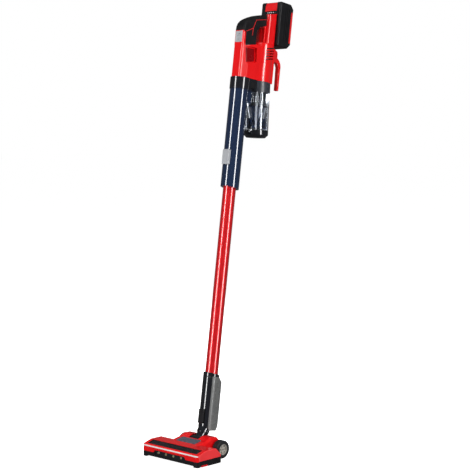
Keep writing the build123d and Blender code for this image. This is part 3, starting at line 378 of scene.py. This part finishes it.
def pocket_shade_plates():
    """Dark red plates in the floor of the pockets beside the front column; their dark red is painted shade
    for the recesses.
    """
    outline = [(-9.5, 881), (25.5, 882.5), (28.5, 849), (-2.5, 842.5)]
    for side, label in ((-1, "left"), (1, "right")):
        x = sorted((side * PLATE_INNER_X, side * PLATE_OUTER_X))
        prism_x("pocket_shade_plate_" + label, STICK, outline, x[0], x[1], "handheld", "pocket_shade_red", 0.5)


PANEL_Y = -22.7            # just proud of the two keys
POWER_KEY_Z, MODE_KEY_Z = 902, 916
POWER_RING_R = 2.3


def panel_marks():
    """A generic ring on the power key and three bars on the mode key."""
    turns = [radians(a) for a in range(0, 360, 15)]
    ring = [(POWER_RING_R * cos(a), PANEL_Y, POWER_KEY_Z + POWER_RING_R * sin(a)) for a in turns]
    line_piece("power_ring", STICK, ring, 0.25, "power_button", "dark_grey_plastic", closed=True)
    bar_start, bar_spacing, bar_width = -3.2, 2.4, 1.5
    bar_foot = MODE_KEY_Z - 1.4
    for i in range(3):
        x = bar_start + bar_spacing * i
        bar_height = 1.0 + 0.9 * i
        box_piece("mode_bar_%d" % (i + 1), STICK, (x, x + bar_width), (PANEL_Y, PANEL_Y + 0.4),
                  (bar_foot, bar_foot + bar_height), "mode_button", "dark_grey_plastic", 0.1)


BATTERY_FRONT_Y = 96.8


def battery_marks():
    """Black strip under the battery's button, with four charge marks."""
    box_piece("charge_strip", STICK, (-19, 19), (BATTERY_FRONT_Y - 0.4, BATTERY_FRONT_Y + 0.5),
              (996, 1002.6), "battery", "black_gloss", 0.3)
    mark_start, mark_spacing, mark_width = -11.5, 6.6, 3.4
    for i in range(4):
        x = mark_start + mark_spacing * i
        box_piece("charge_mark_%d" % (i + 1), STICK, (x, x + mark_width),
                  (BATTERY_FRONT_Y - 0.7, BATTERY_FRONT_Y), (998.2, 1000.4), "battery", "mark", 0.15)


def elbow_band():
    """Bright half ring round the back of the elbow's collar."""
    inner, outer, low, high = 15.9, 16.35, 31, 35.5
    rings = [(inner, low), (outer, low), (outer, high), (inner, high)]
    turns = [radians(a) for a in range(-10, 191, 5)]
    points, faces = [], []
    for turn in turns:
        points += [STUB @ (Vector((r * cos(turn), r * sin(turn), z)) * MM) for r, z in rings]
    for k in range(len(turns) - 1):
        for i in range(4):
            j = (i + 1) % 4
            faces.append((4 * k + i, 4 * k + j, 4 * k + 4 + j, 4 * k + 4 + i))
    faces += [(3, 2, 1, 0), tuple(4 * len(turns) - 4 + i for i in range(4))]
    mesh_piece("elbow_band", points, faces, "neck", "chrome")


bristles()
grip_trims()
pocket_shade_plates()
panel_marks()
battery_marks()
elbow_band()


# ------------------------------------------------------------------ camera, lights, floor

AIM = Vector((0.062, -0.042, 0.588))
AZIMUTH, ELEVATION = radians(43.0), radians(4.1)
DISTANCE = 3.34
FOCAL_MM = 96.7

back = Vector((sin(AZIMUTH) * cos(ELEVATION), -cos(AZIMUTH) * cos(ELEVATION), sin(ELEVATION)))
camera_data = bpy.data.cameras.new("camera")
camera_data.lens = FOCAL_MM
camera_data.sensor_width = 36.0
camera = bpy.data.objects.new("camera", camera_data)
camera.location = AIM + DISTANCE * back
camera.rotation_euler = back.to_track_quat("Z", "Y").to_euler()
scene.collection.objects.link(camera)
scene.camera = camera


def area_light(name, place, target, width, height, watts, mirrored=True):
    """A soft box; one that is not mirrored lights surfaces but leaves no highlight."""
    data = bpy.data.lights.new(name, "AREA")
    data.shape = "RECTANGLE"
    data.size = width
    data.size_y = height
    data.energy = watts
    lamp = bpy.data.objects.new(name, data)
    lamp.location = place
    lamp.rotation_euler = (Vector(place) - Vector(target)).to_track_quat("Z", "Y").to_euler()
    lamp.visible_glossy = mirrored
    scene.collection.objects.link(lamp)


def around(azimuth, reach, height):
    """A place round the stick: azimuth 0 is in front, 90 on its right side."""
    return (reach * sin(radians(azimuth)), -reach * cos(radians(azimuth)), height)


MIDDLE = (0, 0.05, 0.65)
area_light("front_strip", around(-10, 2.5, 1.0), MIDDLE, 0.42, 2.4, 58)
area_light("side_strip", around(93, 2.5, 1.0), MIDDLE, 0.50, 2.4, 62)
area_light("left_card", around(-110, 2.4, 1.0), MIDDLE, 0.9, 2.2, 20, mirrored=False)
area_light("front_fill", around(40, 3.2, 1.6), MIDDLE, 1.2, 1.2, 26, mirrored=False)
area_light("back_fill", around(215, 3.0, 1.7), MIDDLE, 1.2, 1.4, 44, mirrored=False)
area_light("top_light", (0.3, -0.8, 3.0), (0, 0, 0.6), 1.4, 1.4, 16)

# the backdrop is white, and what it gives to surfaces is dim
WORLD_FILL = 0.09
world = bpy.data.worlds.new("studio")
world.use_nodes = True
world_tree = world.node_tree
background = world_tree.nodes["Background"]
background.inputs["Color"].default_value = (1, 1, 1, 1)
light_path = world_tree.nodes.new("ShaderNodeLightPath")
strength = world_tree.nodes.new("ShaderNodeMapRange")
strength.inputs["To Min"].default_value = WORLD_FILL
strength.inputs["To Max"].default_value = 1.0
world_tree.links.new(light_path.outputs["Is Camera Ray"], strength.inputs["Value"])
world_tree.links.new(strength.outputs["Result"], background.inputs["Strength"])
scene.world = world
scene.view_settings.view_transform = "Standard"


FLOOR_HALF = 60.0          # metres from the middle to an edge
FLOOR_GLOW = 0.92


def floor_plane():
    """Plain pale floor that gives its own light and isn't reflected, so that blacks stay dark."""
    mesh = bpy.data.meshes.new("floor")
    corners = [(x * FLOOR_HALF, y * FLOOR_HALF, 0) for x, y in ((-1, -1), (1, -1), (1, 1), (-1, 1))]
    mesh.from_pydata(corners, [], [(0, 1, 2, 3)])
    floor = bpy.data.objects.new("floor", mesh)
    scene.collection.objects.link(floor)
    mat, tree, shader, coords = new_material("floor_paint")
    shade = ramp(tree, noise(tree, coords, 2, 3), 0.3, 0.7, (0.86, 0.86, 0.86), (0.90, 0.90, 0.90))
    tree.links.new(shade, shader.inputs["Base Color"])
    shader.inputs["Roughness"].default_value = 0.7
    shader.inputs["Emission Color"].default_value = (1, 1, 1, 1)
    shader.inputs["Emission Strength"].default_value = FLOOR_GLOW
    shader.inputs["Specular IOR Level"].default_value = 0.0
    dress(floor, mat)
    floor.visible_glossy = False
    floor.visible_diffuse = False


floor_plane()
